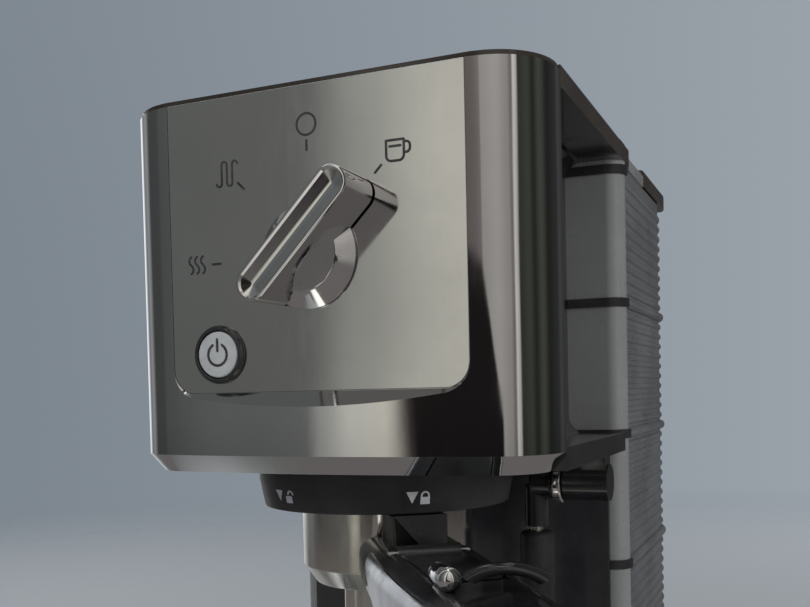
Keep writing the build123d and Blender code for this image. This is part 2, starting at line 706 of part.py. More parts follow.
def tray_fascia():
    """Chrome front of the drip tray, bowed like the head, with a finger grip below."""
    outline = bowed_outline(baseFrontY, trayJointY, halfWidth, cornerRadius)
    face = raised(outline, basePlateTopZ + 0.4, baseTopZ)
    top = [e for e in face.edges().group_by(Axis.Z)[-1] if e.center().Y < trayJointY - 0.1]
    face = fillet(top, 2.4)
    inner = bowed_outline(baseFrontY, trayJointY + 1, halfWidth, cornerRadius, inset=4.2)
    face -= raised(inner, basePlateTopZ + 3.0, baseTopZ + 1)
    face -= block(-70.1, 70.1, trayJointY - 8, trayJointY + 1, basePlateTopZ + 3.0, baseTopZ + 1)
    grip = Pos(0, baseFrontY - 6, basePlateTopZ) * Rot(0, 90, 0) * Cylinder(12, 52)
    return face - grip


def drip_grid():
    """Slotted steel grid that lies on the tray."""
    low = baseTopZ - 5.7
    grid = raised(tray_outline(0.5), low, low + 3.2)
    grid -= raised(tray_outline(3.0), low + 1.6, low + 5)
    slots = None
    for row in range(-6, 7):
        for y, length in ((-88.0, 48.0), (-34.0, 48.0)):
            slot = raised(Pos(row * 9.4, y) * Rot(0, 0, 90) * SlotOverall(length, 4.2), low - 1, low + 3)
            slots = slot if slots is None else slots + slot
    return grid - slots


# ---- tank ----

def tank_plan(inset):
    half = ribBase - skinThickness - 0.1 - wall - 0.8 - inset
    back = rearDepth - 0.9 - skinThickness - 0.1 - wall - 0.8 - inset
    return rear_outline(half, lidFrontY + 0.8 + inset, back, 5.0, rearCorner - 6.0 - inset)


def water_tank():
    tank = raised(tank_plan(0.0), tankFloorZ, lidBottomZ - 0.8)
    tank -= raised(tank_plan(2.0), tankFloorZ + 2.4, topZ)
    tank -= upright(5.0, tankFloorZ - 1, tankFloorZ + 4, 0, lidFrontY + 18)
    for side in (-1, 1):
        arm = block(side * 26, side * 34, 118.0, 134.0, lidBottomZ - 0.6, lidBottomZ + 1.6)
        arm += block(side * 26, side * 34, 118.0, 124.0, lidBottomZ - 9, lidBottomZ + 1.6)
        knuckle = along_x(2.2, side * 26, side * 34, hingeY, hingeZ)
        riser = block(side * 26, side * 34, hingeY - 2.2, hingeY + 0.4, lidBottomZ, hingeZ)
        tank += (arm + knuckle + riser) - along_x(1.1, -40, 40, hingeY, hingeZ)
    return tank


def tank_lid():
    """Cover over the tank, hinged at its rear edge."""
    lid = raised(rear_outline(halfWidth, lidFrontY, lidRearY, 2.0, 22.0), lidBottomZ, topZ)
    top_edges = [e for e in lid.edges() if abs(e.center().Z - topZ) < 1e-3]
    lid = fillet(top_edges, 1.6)
    lid -= raised(tank_plan(-3.0), lidBottomZ - 1, topZ - 3.0)
    lid -= block(-80, 80, 126.0, lidRearY + 1, lidBottomZ - 1, topZ - 4.6)
    for side in (-1, 1):
        lid -= block(side * 25.5, side * 34.5, 115.0, lidRearY + 1, lidBottomZ - 1, topZ - 3.0)
        lid -= block(side * 25.5, side * 34.5, hingeY - 3.0, lidRearY + 1, lidBottomZ - 1, topZ + 1)
    lid -= along_x(1.16, -42, 42, hingeY, hingeZ)
    return lid


def lid_hinge_pins():
    pins = along_x(1.1, 22.0, 38.0, hingeY, hingeZ)
    return pins + along_x(1.1, -38.0, -22.0, hingeY, hingeZ)


def tank_valve():
    """Spring valve in the tank's floor that opens as the tank is set down."""
    y = lidFrontY + 18
    valve = upright(7.6, tankFloorZ + 2.4, tankFloorZ + 8.0, 0, y)
    return valve + upright(5.0, tankFloorZ - 5.0, tankFloorZ + 2.4, 0, y)


def tank_seat():
    """Cup in the body that the tank's valve plugs into."""
    y = lidFrontY + 18
    seat = upright(7.0, tankFloorZ - 16.0, tankFloorZ - 2.0, 0, y)
    seat -= upright(5.4, tankFloorZ - 12, tankFloorZ, 0, y)
    return seat - upright(2.2, 0, tankFloorZ, 0, y)


# ---- inside ----

def boiler():
    """Aluminium boiler above the group, with a flange."""
    low = floorTopZ + 16.0
    body = upright(30, low + 6, low + 58, 0, groupY) + upright(38, low, low + 6, 0, groupY)
    body = body + upright(34, low + 28, low + 33, 0, groupY)
    return body


def boiler_bolts():
    low = floorTopZ + 16.0
    group = None
    for k in range(4):
        a = radians(45 + 90 * k)
        x, y = 33.6 * cos(a), groupY + 33.6 * sin(a)
        bolt = upright(3.2, low + 6, low + 9.2, x, y)
        group = bolt if group is None else group + bolt
    return group


def thermostat():
    low = floorTopZ + 16.0 + 58
    return upright(8, low, low + 5, 0, groupY) + upright(3, low + 5, low + 9, 0, groupY)


def selector_switch():
    """Rotary switch behind the plate, turned by the knob's shaft."""
    body = block(-14, 14, plateY + 5.0, plateY + 21.0, dialZ - 14, dialZ + 14)
    return body - along_y(3.06, plateY + 4, plateY + 14.5, 0, dialZ)


def power_switch():
    y = plateY + 3.4 + 2.2
    return block(buttonX - 7, buttonX + 7, y, y + 14, buttonZ - 7, buttonZ + 7)


def steam_valve():
    """Solenoid valve that feeds the steam pipe, beside the boiler."""
    low = floorTopZ + 14.0
    body = upright(7.0, low, low + 30, 40, groupY + 42)
    return body + block(34, 46, groupY + 36, groupY + 48, low - 6, low)


def pump():
    """Vibration pump lying upright in the rear body, with its two necks."""
    x, y = -30, 27
    body = block(x - 17, x + 17, y - 14, y + 14, 70, 104) + upright(9, 104, 140, x, y)
    body += upright(7.5, 52, 70, x, y) + upright(3.5, 140, 150, x, y)
    return body


def pump_mounts():
    """Rubber blocks that keep the pump off the walls."""
    x, y = -30, 27
    low = upright(12, 44, 60, x, y) - upright(7.5, 43, 61, x, y)
    high = upright(13, 110, 122, x, y) - upright(9, 109, 123, x, y)
    return low + high


def control_board():
    board = block(14, 62, 44.0, 45.6, 96, 170)
    chips = ((26, 150, 14, 16, 12), (48, 150, 12, 14, 8), (30, 116, 20, 14, 14), (50, 114, 9, 9, 9))
    for x, z, w, h, d in chips:
        board += block(x - w / 2, x + w / 2, 44.0 - d, 44.0, z - h / 2, z + h / 2)
    return board


def bent_tube(points, radius, bend):
    path = FilletPolyline(*points, radius=bend)
    first = path @ 0
    profile = Plane(origin=first, z_dir=path % 0) * Circle(radius)
    return sweep(profile, path=path)


def inner_hoses():
    """Hose from the tank's seat to the pump, and pipe from the pump up to the boiler."""
    seat_y, low, high = lidFrontY + 18, 14.5, 268.0
    suction = [(0, seat_y, tankFloorZ - 16.0), (0, seat_y, low), (-30, 27, low), (-30, 27, 52)]
    boiler_top = floorTopZ + 74.0
    pressure = [
        (-30, 27, 150), (-30, 27, high), (-30, groupY + 20, high), (-12, groupY + 12, high),
        (-12, groupY + 12, boiler_top),
    ]
    return bent_tube(suction, 2.4, 4.5) + bent_tube(pressure, 2.2, 4.0)


builders = [
    head_front_shell, front_plate, plate_marks, knob_dial, knob_bar, knob_shaft,
    power_button_ring, power_button_cap, power_button_mark, top_cover, head_neck, head_floor,
    group_collar, collar_marks, group_head, group_gasket, shower_screen, screen_screw,
    portafilter_bowl, filter_basket, portafilter_spout, neck_block, handle_core, handle_side_bands,
    handle_cap, basket_clip, clip_pin,
    steam_pivot_housing, steam_pivot_ring, steam_hub, steam_tube, steam_grip, steam_nozzle,
    ribbed_skin, rear_frame, wall_bands, column_panel, body_screws, cord_gland,
    base_plate, rubber_feet, base_shell, drip_tray, tray_fascia, drip_grid,
    water_tank, tank_lid, lid_hinge_pins, tank_valve, tank_seat,
    boiler, boiler_bolts, thermostat, selector_switch, power_switch, steam_valve,
    pump, pump_mounts, inner_hoses, control_board,
]

os.makedirs("parts", exist_ok=True)
for build in builders:
    export_step(build(), os.path.join("parts", build.__name__ + ".step"))
    print(build.__name__)
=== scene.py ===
import json
import math

import bmesh
import bpy
from mathutils import Matrix, Vector


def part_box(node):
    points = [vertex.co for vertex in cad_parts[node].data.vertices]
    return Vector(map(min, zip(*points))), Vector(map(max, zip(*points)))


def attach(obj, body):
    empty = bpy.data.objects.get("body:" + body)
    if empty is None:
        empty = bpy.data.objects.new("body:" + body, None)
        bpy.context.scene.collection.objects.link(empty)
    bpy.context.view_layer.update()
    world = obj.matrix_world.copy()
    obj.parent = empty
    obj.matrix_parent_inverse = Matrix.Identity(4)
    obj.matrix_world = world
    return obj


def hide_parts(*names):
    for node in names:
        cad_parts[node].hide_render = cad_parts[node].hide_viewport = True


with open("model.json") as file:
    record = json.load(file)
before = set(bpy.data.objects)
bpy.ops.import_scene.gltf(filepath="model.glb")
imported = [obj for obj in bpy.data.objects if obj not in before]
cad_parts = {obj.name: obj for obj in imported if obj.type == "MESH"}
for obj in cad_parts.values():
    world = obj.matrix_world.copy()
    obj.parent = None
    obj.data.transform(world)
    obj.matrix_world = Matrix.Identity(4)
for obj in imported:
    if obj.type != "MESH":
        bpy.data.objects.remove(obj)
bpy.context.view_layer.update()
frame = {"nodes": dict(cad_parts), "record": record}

scene = bpy.context.scene
mm = 0.001

bodies = frame["record"]["behaviour"]["bodies"]
bodyOf = {node: body for body, nodes in bodies.items() for node in nodes}


# Shader helpers: small functions that put a node in a tree and join it up
def addNode(tree, kind, sockets=None, **settings):
    node = tree.nodes.new(kind)
    for name, value in settings.items():
        setattr(node, name, value)
    for name, value in (sockets or {}).items():
        if isinstance(value, bpy.types.NodeSocket):
            tree.links.new(value, node.inputs[name])
        else:
            node.inputs[name].default_value = value
    return node


def newGroup(name, inputs, outputs):
    tree = bpy.data.node_groups.new(name, "ShaderNodeTree")
    for socketName, kind, value in inputs:
        socket = tree.interface.new_socket(socketName, in_out="INPUT", socket_type=kind)
        if value is not None:
            socket.default_value = value
    for socketName, kind in outputs:
        tree.interface.new_socket(socketName, in_out="OUTPUT", socket_type=kind)
    start = tree.nodes.new("NodeGroupInput")
    end = tree.nodes.new("NodeGroupOutput")
    return tree, start.outputs, end.inputs


def placeGroup(tree, group, sockets):
    node = addNode(tree, "ShaderNodeGroup", node_tree=group)
    for name, value in sockets.items():
        if isinstance(value, bpy.types.NodeSocket):
            tree.links.new(value, node.inputs[name])
        else:
            node.inputs[name].default_value = value
    return node.outputs


def spread(tree, value, low, high, start=0.0, end=1.0):
    node = addNode(tree, "ShaderNodeMapRange", {"Value": value, "From Min": start, "From Max": end,
                                                "To Min": low, "To Max": high})
    return node.outputs["Result"]


def blendColour(tree, share, first, second, kind="MIX"):
    node = addNode(tree, "ShaderNodeMix", data_type="RGBA", blend_type=kind)
    for index, value in ((0, share), (6, first), (7, second)):
        if isinstance(value, bpy.types.NodeSocket):
            tree.links.new(value, node.inputs[index])
        else:
            node.inputs[index].default_value = value
    return node.outputs[2]


def rgba(colour):
    return (*colour, 1.0)


# Handling marks: soft cloudy patches, wiped streaks and a few specks of dust
def makeHandling():
    tree, given, out = newGroup(
        "handlingMarks",
        (("Place", "NodeSocketVector", None), ("Patches", "NodeSocketFloat", 30.0),
         ("Wipe", "NodeSocketVector", (1.0, 1.0, 0.15)), ("Dust", "NodeSocketFloat", 900.0)),
        (("Clouds", "NodeSocketFloat"), ("Streaks", "NodeSocketFloat"), ("Specks", "NodeSocketFloat")))
    cloud = addNode(tree, "ShaderNodeTexNoise", {"Vector": given["Place"], "Scale": given["Patches"],
                                                 "Detail": 5.0, "Roughness": 0.6})
    tree.links.new(spread(tree, cloud.outputs["Fac"], 0.0, 1.0, 0.36, 0.66), out["Clouds"])
    drawn = addNode(tree, "ShaderNodeVectorMath", operation="MULTIPLY")
    tree.links.new(given["Place"], drawn.inputs[0])
    tree.links.new(given["Wipe"], drawn.inputs[1])
    wiped = addNode(tree, "ShaderNodeTexNoise", {"Vector": drawn.outputs[0], "Scale": 420.0, "Detail": 3.0})
    tree.links.new(spread(tree, wiped.outputs["Fac"], 0.0, 1.0, 0.42, 0.72), out["Streaks"])
    dots = addNode(tree, "ShaderNodeTexVoronoi", {"Vector": given["Place"], "Scale": given["Dust"]})
    near = spread(tree, dots.outputs["Distance"], 1.0, 0.0, 0.05, 0.10)
    rare = addNode(tree, "ShaderNodeMath", {0: dots.outputs["Color"], 1: 0.82}, operation="GREATER_THAN")
    both = addNode(tree, "ShaderNodeMath", {0: near, 1: rare.outputs[0]}, operation="MULTIPLY",
                   use_clamp=True)
    tree.links.new(both.outputs[0], out["Specks"])
    return tree


# Grain: fine noise that can be drawn out along one direction, for brushed, cast and moulded skins
def makeGrain():
    tree, given, out = newGroup(
        "surfaceGrain",
        (("Place", "NodeSocketVector", None), ("Fineness", "NodeSocketFloat", 900.0),
         ("Draw", "NodeSocketVector", (1.0, 1.0, 1.0))),
        (("Height", "NodeSocketFloat"), ("Tone", "NodeSocketFloat")))
    drawn = addNode(tree, "ShaderNodeVectorMath", operation="MULTIPLY")
    tree.links.new(given["Place"], drawn.inputs[0])
    tree.links.new(given["Draw"], drawn.inputs[1])
    fine = addNode(tree, "ShaderNodeTexNoise", {"Vector": drawn.outputs[0], "Scale": given["Fineness"],
                                                "Detail": 4.0, "Roughness": 0.65})
    tree.links.new(fine.outputs["Fac"], out["Height"])
    coarse = addNode(tree, "ShaderNodeMath", {0: given["Fineness"], 1: 0.13}, operation="MULTIPLY")
    broad = addNode(tree, "ShaderNodeTexNoise", {"Vector": drawn.outputs[0], "Scale": coarse.outputs[0],
                                                 "Detail": 2.0})
    tree.links.new(spread(tree, broad.outputs["Fac"], 0.0, 1.0, 0.3, 0.7), out["Tone"])
    return tree


# Moulded: the shallow pebbled skin that a spark-eroded mould leaves
def makeMoulded():
    tree, given, out = newGroup(
        "mouldedSkin",
        (("Place", "NodeSocketVector", None), ("Pebbles", "NodeSocketFloat", 1400.0)),
        (("Height", "NodeSocketFloat"),))
    cells = addNode(tree, "ShaderNodeTexVoronoi", {"Vector": given["Place"], "Scale": given["Pebbles"],
                                                   "Smoothness": 0.6}, feature="SMOOTH_F1")
    rough = addNode(tree, "ShaderNodeTexNoise", {"Vector": given["Place"], "Scale": given["Pebbles"],
                                                 "Detail": 2.0})
    joined = addNode(tree, "ShaderNodeMath", {0: cells.outputs["Distance"], 1: rough.outputs["Fac"]},
                     operation="ADD")
    tree.links.new(joined.outputs[0], out["Height"])
    return tree


handlingGroup, grainGroup, mouldedGroup = makeHandling(), makeGrain(), makeMoulded()


def startMaterial(name, constants):
    material = bpy.data.materials.new(name)
    material.use_nodes = True
    tree = material.node_tree
    shader = tree.nodes["Principled BSDF"]
    for socketName, value in constants.items():
        shader.inputs[socketName].default_value = value
    place = addNode(tree, "ShaderNodeTexCoord").outputs["Object"]
    return material, tree, shader, place


metalFinishes = {
    "chrome": dict(tone=(0.74, 0.74, 0.75), dull=(0.66, 0.66, 0.66), rough=(0.025, 0.085), patches=24.0,
                   fineness=160.0, draw=(1.0, 1.0, 1.0), bump=0.010, streak=0.03, dust=0.5),
    "plateSteel": dict(tone=(0.68, 0.675, 0.665), dull=(0.60, 0.60, 0.59), rough=(0.035, 0.10), patches=30.0,
                       fineness=260.0, draw=(0.2, 1.0, 1.0), bump=0.010, streak=0.04, dust=0.8),
    "knobChrome": dict(tone=(0.80, 0.80, 0.81), dull=(0.70, 0.70, 0.70), rough=(0.03, 0.11), patches=60.0,
                       fineness=420.0, draw=(1.0, 1.0, 1.0), bump=0.012, streak=0.03, dust=0.5),
    "bowlSteel": dict(tone=(0.86, 0.84, 0.79), dull=(0.62, 0.60, 0.55), rough=(0.10, 0.20), patches=40.0,
                      fineness=700.0, draw=(1.0, 1.0, 0.08), bump=0.05, streak=0.10, dust=0.3),
    "brushedSteel": dict(tone=(0.62, 0.62, 0.61), dull=(0.50, 0.50, 0.49), rough=(0.20, 0.36), patches=35.0,
                         fineness=900.0, draw=(1.0, 0.05, 1.0), bump=0.10, streak=0.10, dust=0.2),
    "castAluminium": dict(tone=(0.66, 0.67, 0.68), dull=(0.47, 0.48, 0.49), rough=(0.38, 0.60), patches=50.0,
                          fineness=620.0, draw=(1.0, 1.0, 1.0), bump=0.35, streak=0.08, dust=0.3),
    "silverTrim": dict(tone=(0.62, 0.63, 0.65), dull=(0.50, 0.51, 0.53), rough=(0.16, 0.28), patches=60.0,
                       fineness=1100.0, draw=(1.0, 1.0, 1.0), bump=0.05, streak=0.05, dust=0.4),
    "brass": dict(tone=(0.72, 0.52, 0.22), dull=(0.42, 0.28, 0.11), rough=(0.20, 0.42), patches=90.0,
                  fineness=800.0, draw=(1.0, 1.0, 0.3), bump=0.12, streak=0.10, dust=0.2),
}


def metalFinish(name):
    s = metalFinishes[name]
    material, tree, shader, place = startMaterial(name, {"Metallic": 1.0})
    marks = placeGroup(tree, handlingGroup, {"Place": place, "Patches": s["patches"]})
    grain = placeGroup(tree, grainGroup, {"Place": place, "Fineness": s["fineness"], "Draw": s["draw"]})
    worn = spread(tree, marks["Clouds"], 0.0, 0.55)
    colour = blendColour(tree, worn, rgba(s["tone"]), rgba(s["dull"]))
    dusty = spread(tree, marks["Specks"], 0.0, s["dust"])
    colour = blendColour(tree, dusty, colour, (0.78, 0.76, 0.72, 1.0))
    tree.links.new(colour, shader.inputs["Base Color"])
    rough = spread(tree, marks["Clouds"], *s["rough"])
    streaked = addNode(tree, "ShaderNodeMath", {0: marks["Streaks"], 1: s["streak"], 2: rough},
                       operation="MULTIPLY_ADD")
    speckled = addNode(tree, "ShaderNodeMath", {0: dusty, 1: 0.4, 2: streaked.outputs[0]},
                       operation="MULTIPLY_ADD", use_clamp=True)
    tree.links.new(speckled.outputs[0], shader.inputs["Roughness"])
    bump = addNode(tree, "ShaderNodeBump", {"Strength": s["bump"], "Distance": 0.3 * mm,
                                            "Height": grain["Height"]})
    tree.links.new(bump.outputs[0], shader.inputs["Normal"])
    return material


dustTone = (0.32, 0.31, 0.29)

plasticFinishes = {
    "glossBlack": dict(tone=(0.010, 0.010, 0.011), worn=(0.020, 0.020, 0.021), rough=(0.07, 0.17), coat=0.35,
                       patches=30.0, pebbles=500.0, bump=0.010, dust=0.35),
    "satinBlack": dict(tone=(0.013, 0.013, 0.014), worn=(0.024, 0.024, 0.025), rough=(0.36, 0.50), coat=0.0,
                       patches=45.0, pebbles=1500.0, bump=0.16, dust=0.5),
    "darkGrey": dict(tone=(0.075, 0.076, 0.080), worn=(0.10, 0.102, 0.107), rough=(0.26, 0.40), coat=0.1,
                     patches=28.0, pebbles=1300.0, bump=0.08, dust=0.5),
    "coverBrown": dict(tone=(0.022, 0.017, 0.014), worn=(0.034, 0.028, 0.024), rough=(0.14, 0.27), coat=0.3,
                       patches=32.0, pebbles=900.0, bump=0.03, dust=0.6),
    "buttonGrey": dict(tone=(0.46, 0.47, 0.47), worn=(0.38, 0.385, 0.38), rough=(0.24, 0.38), coat=0.2,
                       patches=150.0, pebbles=1800.0, bump=0.05, dust=0.4),
    "markDark": dict(tone=(0.020, 0.020, 0.022), worn=(0.050, 0.050, 0.050), rough=(0.32, 0.45), coat=0.0,
                     patches=200.0, pebbles=2400.0, bump=0.05, dust=0.2),
    "markLight": dict(tone=(0.42, 0.42, 0.43), worn=(0.30, 0.30, 0.31), rough=(0.40, 0.55), coat=0.0,
                      patches=260.0, pebbles=2400.0, bump=0.08, dust=0.2),
    "rubber": dict(tone=(0.018, 0.018, 0.018), worn=(0.045, 0.044, 0.042), rough=(0.62, 0.85), coat=0.0,
                   patches=70.0, pebbles=1100.0, bump=0.30, dust=0.9),
    # rear frame wall: the wall's own dark grey, lightened well past it as a painted reflection of a grey room
    # in its gloss
    "wallGrey": dict(tone=(0.16, 0.16, 0.158), worn=(0.18, 0.18, 0.178), rough=(0.20, 0.32), coat=0.3,
                     patches=26.0, pebbles=700.0, bump=0.02, dust=0.4),
    "columnGrey": dict(tone=(0.016, 0.016, 0.018), worn=(0.030, 0.030, 0.032), rough=(0.12, 0.24), coat=0.3,
                       patches=26.0, pebbles=700.0, bump=0.02, dust=0.5),
}


def plasticFinish(name):
    s = plasticFinishes[name]
    material, tree, shader, place = startMaterial(
        name, {"Metallic": 0.0, "IOR": 1.5, "Coat Weight": s["coat"], "Coat Roughness": 0.06})
    marks = placeGroup(tree, handlingGroup, {"Place": place, "Patches": s["patches"]})
    skin = placeGroup(tree, mouldedGroup, {"Place": place, "Pebbles": s["pebbles"]})
    colour = blendColour(tree, marks["Clouds"], rgba(s["tone"]), rgba(s["worn"]))
    dusty = spread(tree, marks["Specks"], 0.0, s["dust"])
    colour = blendColour(tree, dusty, colour, rgba(dustTone))
    tree.links.new(colour, shader.inputs["Base Color"])
    rough = spread(tree, marks["Clouds"], *s["rough"])
    streaked = addNode(tree, "ShaderNodeMath", {0: marks["Streaks"], 1: 0.05, 2: rough},
                       operation="MULTIPLY_ADD", use_clamp=True)
    tree.links.new(streaked.outputs[0], shader.inputs["Roughness"])
    bump = addNode(tree, "ShaderNodeBump", {"Strength": s["bump"], "Distance": 0.2 * mm,
                                            "Height": skin["Height"]})
    tree.links.new(bump.outputs[0], shader.inputs["Normal"])
    return material


clearFinishes = {
    "tankClear": dict(tone=(0.55, 0.57, 0.60), rough=(0.03, 0.12), patches=26.0, weight=0.85),
    "hoseClear": dict(tone=(0.80, 0.80, 0.78), rough=(0.12, 0.28), patches=120.0, weight=0.6),
}


def clearFinish(name):
    s = clearFinishes[name]
    material, tree, shader, place = startMaterial(
        name, {"Metallic": 0.0, "IOR": 1.49, "Transmission Weight": s["weight"]})
    marks = placeGroup(tree, handlingGroup, {"Place": place, "Patches": s["patches"]})
    dusty = spread(tree, marks["Specks"], 0.0, 0.4)
    colour = blendColour(tree, dusty, rgba(s["tone"]), (0.9, 0.9, 0.88, 1.0))
    tree.links.new(colour, shader.inputs["Base Color"])
    tree.links.new(spread(tree, marks["Clouds"], *s["rough"]), shader.inputs["Roughness"])
    return material


# Circuit board: green lacquer over straight copper tracks
def boardFinish():
    material, tree, shader, place = startMaterial("boardGreen", {"Metallic": 0.0, "Coat Weight": 0.4})
    marks = placeGroup(tree, handlingGroup, {"Place": place, "Patches": 60.0})
    flat = addNode(tree, "ShaderNodeMapping", {"Vector": place, "Rotation": (math.pi / 2, 0.0, 0.0)})
    tracks = addNode(tree, "ShaderNodeTexBrick", {"Vector": flat.outputs[0], "Scale": 60.0,
                                                  "Mortar Size": 0.06, "Brick Width": 0.7, "Row Height": 0.18,
                                                  "Color1": (0.010, 0.085, 0.028, 1.0),
                                                  "Color2": (0.012, 0.100, 0.034, 1.0),
                                                  "Mortar": (0.035, 0.200, 0.060, 1.0)})
    colour = blendColour(tree, marks["Specks"], tracks.outputs["Color"], (0.4, 0.4, 0.36, 1.0))
    tree.links.new(colour, shader.inputs["Base Color"])
    tree.links.new(spread(tree, marks["Clouds"], 0.25, 0.42), shader.inputs["Roughness"])
    return material


materials = {name: metalFinish(name) for name in metalFinishes}
materials.update({name: plasticFinish(name) for name in plasticFinishes})
materials.update({name: clearFinish(name) for name in clearFinishes})
materials["boardGreen"] = boardFinish()
print("materials made:", len(materials))


# Shape helpers
def finishPiece(name, mesh, body, material, node=None):
    piece = bpy.data.objects.new(name, mesh)
    scene.collection.objects.link(piece)
    mesh.materials.clear()
    mesh.materials.append(materials[material])
    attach(piece, body)
    if node:
        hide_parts(node)
    return piece


def meshFrom(bm, name, crease):
    mesh = bpy.data.meshes.new(name)
    bm.to_mesh(mesh)
    bm.free()
    mesh.shade_smooth()
    mesh.set_sharp_from_angle(angle=math.radians(crease))
    return mesh


def softenEdges(piece, width, segments=2, angle=32.0):
    bevel = piece.modifiers.new("softEdges", "BEVEL")
    bevel.width = width * mm
    bevel.segments = segments
    bevel.limit_method = "ANGLE"
    bevel.angle_limit = math.radians(angle)
    bevel.harden_normals = True
    return piece


# A node's copy, merged and cleaned, with its crisp edges eased as a moulded or cast piece has them
def refinedCopy(node, material, ease, crease=32.0, sink=0.0, level=False):
    bm = bmesh.new()
    bm.from_mesh(frame["nodes"][node].data)
    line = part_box("front_plate")[0].y - sink * mm  # only what stands proud of the plate is sunk
    bmesh.ops.translate(bm, verts=[v for v in bm.verts if v.co.y < line], vec=(0.0, sink * mm, 0.0))
    bmesh.ops.remove_doubles(bm, verts=bm.verts, dist=2e-6)
    bmesh.ops.dissolve_limit(bm, angle_limit=math.radians(0.6), verts=bm.verts, edges=bm.edges,
                             use_dissolve_boundaries=False, delimit=set())
    words = node.split("_")
    name = words[0] + "".join(word.capitalize() for word in words[1:])
    piece = finishPiece(name, meshFrom(bm, name, crease), bodyOf[node], material, node)
    if ease:
        softenEdges(piece, ease, angle=crease)
    if level:
        weights = piece.modifiers.new("flatStaysFlat", "WEIGHTED_NORMAL")
        weights.keep_sharp = True
    return piece


# Every carried piece: its finish, and how far its edges are eased, in millimetres
carried = {
    "head_front_shell": dict(material="chrome", ease=0.35, level=True),
    "front_plate": dict(material="plateSteel", ease=0.25, level=True),
    "plate_marks": dict(material="markDark", ease=0.0),
    "knob_dial": dict(material="knobChrome", ease=0.25),
    "knob_bar": dict(material="knobChrome", ease=0.5),
    "knob_shaft": dict(material="brushedSteel", ease=0.2),
    "power_button_ring": dict(material="glossBlack", ease=0.4, sink=1.6),
    "power_button_cap": dict(material="buttonGrey", ease=0.2, sink=1.6),
    "power_button_mark": dict(material="markDark", ease=0.0, sink=1.6),
    "top_cover": dict(material="coverBrown", ease=0.5),
    "head_neck": dict(material="glossBlack", ease=0.4),
    "head_floor": dict(material="glossBlack", ease=0.5),
    "group_collar": dict(material="satinBlack", ease=0.35),
    "collar_marks": dict(material="markLight", ease=0.0),
    "group_head": dict(material="castAluminium", ease=0.3),
    "group_gasket": dict(material="rubber", ease=0.3),
    "shower_screen": dict(material="brushedSteel", ease=0.0),
    "screen_screw": dict(material="brushedSteel", ease=0.3),
    "portafilter_bowl": dict(material="bowlSteel", ease=0.6),
    "filter_basket": dict(material="bowlSteel", ease=0.0),
    "portafilter_spout": dict(material="bowlSteel", ease=0.6),
    "neck_block": dict(material="satinBlack", ease=0.5),
    "handle_core": dict(material="glossBlack", ease=0.4),
    "handle_side_bands": dict(material="silverTrim", ease=0.15),
    "handle_cap": dict(material="silverTrim", ease=0.3),
    "basket_clip": dict(material="glossBlack", ease=0.3),
    "clip_pin": dict(material="brushedSteel", ease=0.2),
    "steam_pivot_housing": dict(material="glossBlack", ease=0.5),
    "steam_pivot_ring": dict(material="chrome", ease=0.2),
    "steam_hub": dict(material="glossBlack", ease=0.3),
    "steam_tube": dict(material="bowlSteel", ease=0.0),
    "steam_grip": dict(material="satinBlack", ease=0.0),
    "steam_nozzle": dict(material="bowlSteel", ease=0.2),
    "ribbed_skin": dict(material="darkGrey", ease=0.0),
    # rear frame takes the wall tone with its painted reflection
    "rear_frame": dict(material="wallGrey", ease=0.4),
    "wall_bands": dict(material="satinBlack", ease=0.3),
    "column_panel": dict(material="columnGrey", ease=0.2),
    "body_screws": dict(material="brushedSteel", ease=0.2),
    "cord_gland": dict(material="satinBlack", ease=0.4),
    "base_plate": dict(material="satinBlack", ease=0.4),
    "rubber_feet": dict(material="rubber", ease=0.4),
    "base_shell": dict(material="glossBlack", ease=0.4),
    "drip_tray": dict(material="satinBlack", ease=0.4),
    "tray_fascia": dict(material="chrome", ease=0.4),
    "drip_grid": dict(material="brushedSteel", ease=0.25),
    "water_tank": dict(material="tankClear", ease=0.3),
    "tank_lid": dict(material="coverBrown", ease=0.4),
    "lid_hinge_pins": dict(material="brushedSteel", ease=0.2),
    "tank_valve": dict(material="brass", ease=0.3),
    "tank_seat": dict(material="satinBlack", ease=0.3),
    "boiler": dict(material="castAluminium", ease=0.6),
    "boiler_bolts": dict(material="brushedSteel", ease=0.3),
    "thermostat": dict(material="brass", ease=0.3),
    "selector_switch": dict(material="satinBlack", ease=0.4),
    "power_switch": dict(material="satinBlack", ease=0.4),
    "steam_valve": dict(material="brass", ease=0.5),
    "pump": dict(material="castAluminium", ease=0.6),
    "pump_mounts": dict(material="rubber", ease=0.5),
    "inner_hoses": dict(material="hoseClear", ease=0.0),
    "control_board": dict(material="boardGreen", ease=0.15),
}
builtByHand = {"knob_bar", "basket_clip"}

for node, look in carried.items():
    if node not in builtByHand:
        refinedCopy(node, **look)
print("carried pieces refined:", len(carried) - len(builtByHand))


# Pieces built by hand
# Lengths in millimetres and angles in degrees, here and in the clip
knobBar = dict(upper=30.0, lower=19.0, half=5.3, turn=45.0, edge=0.45, rim=0.35, lip=0.55, valley=1.5,
               steps=3)


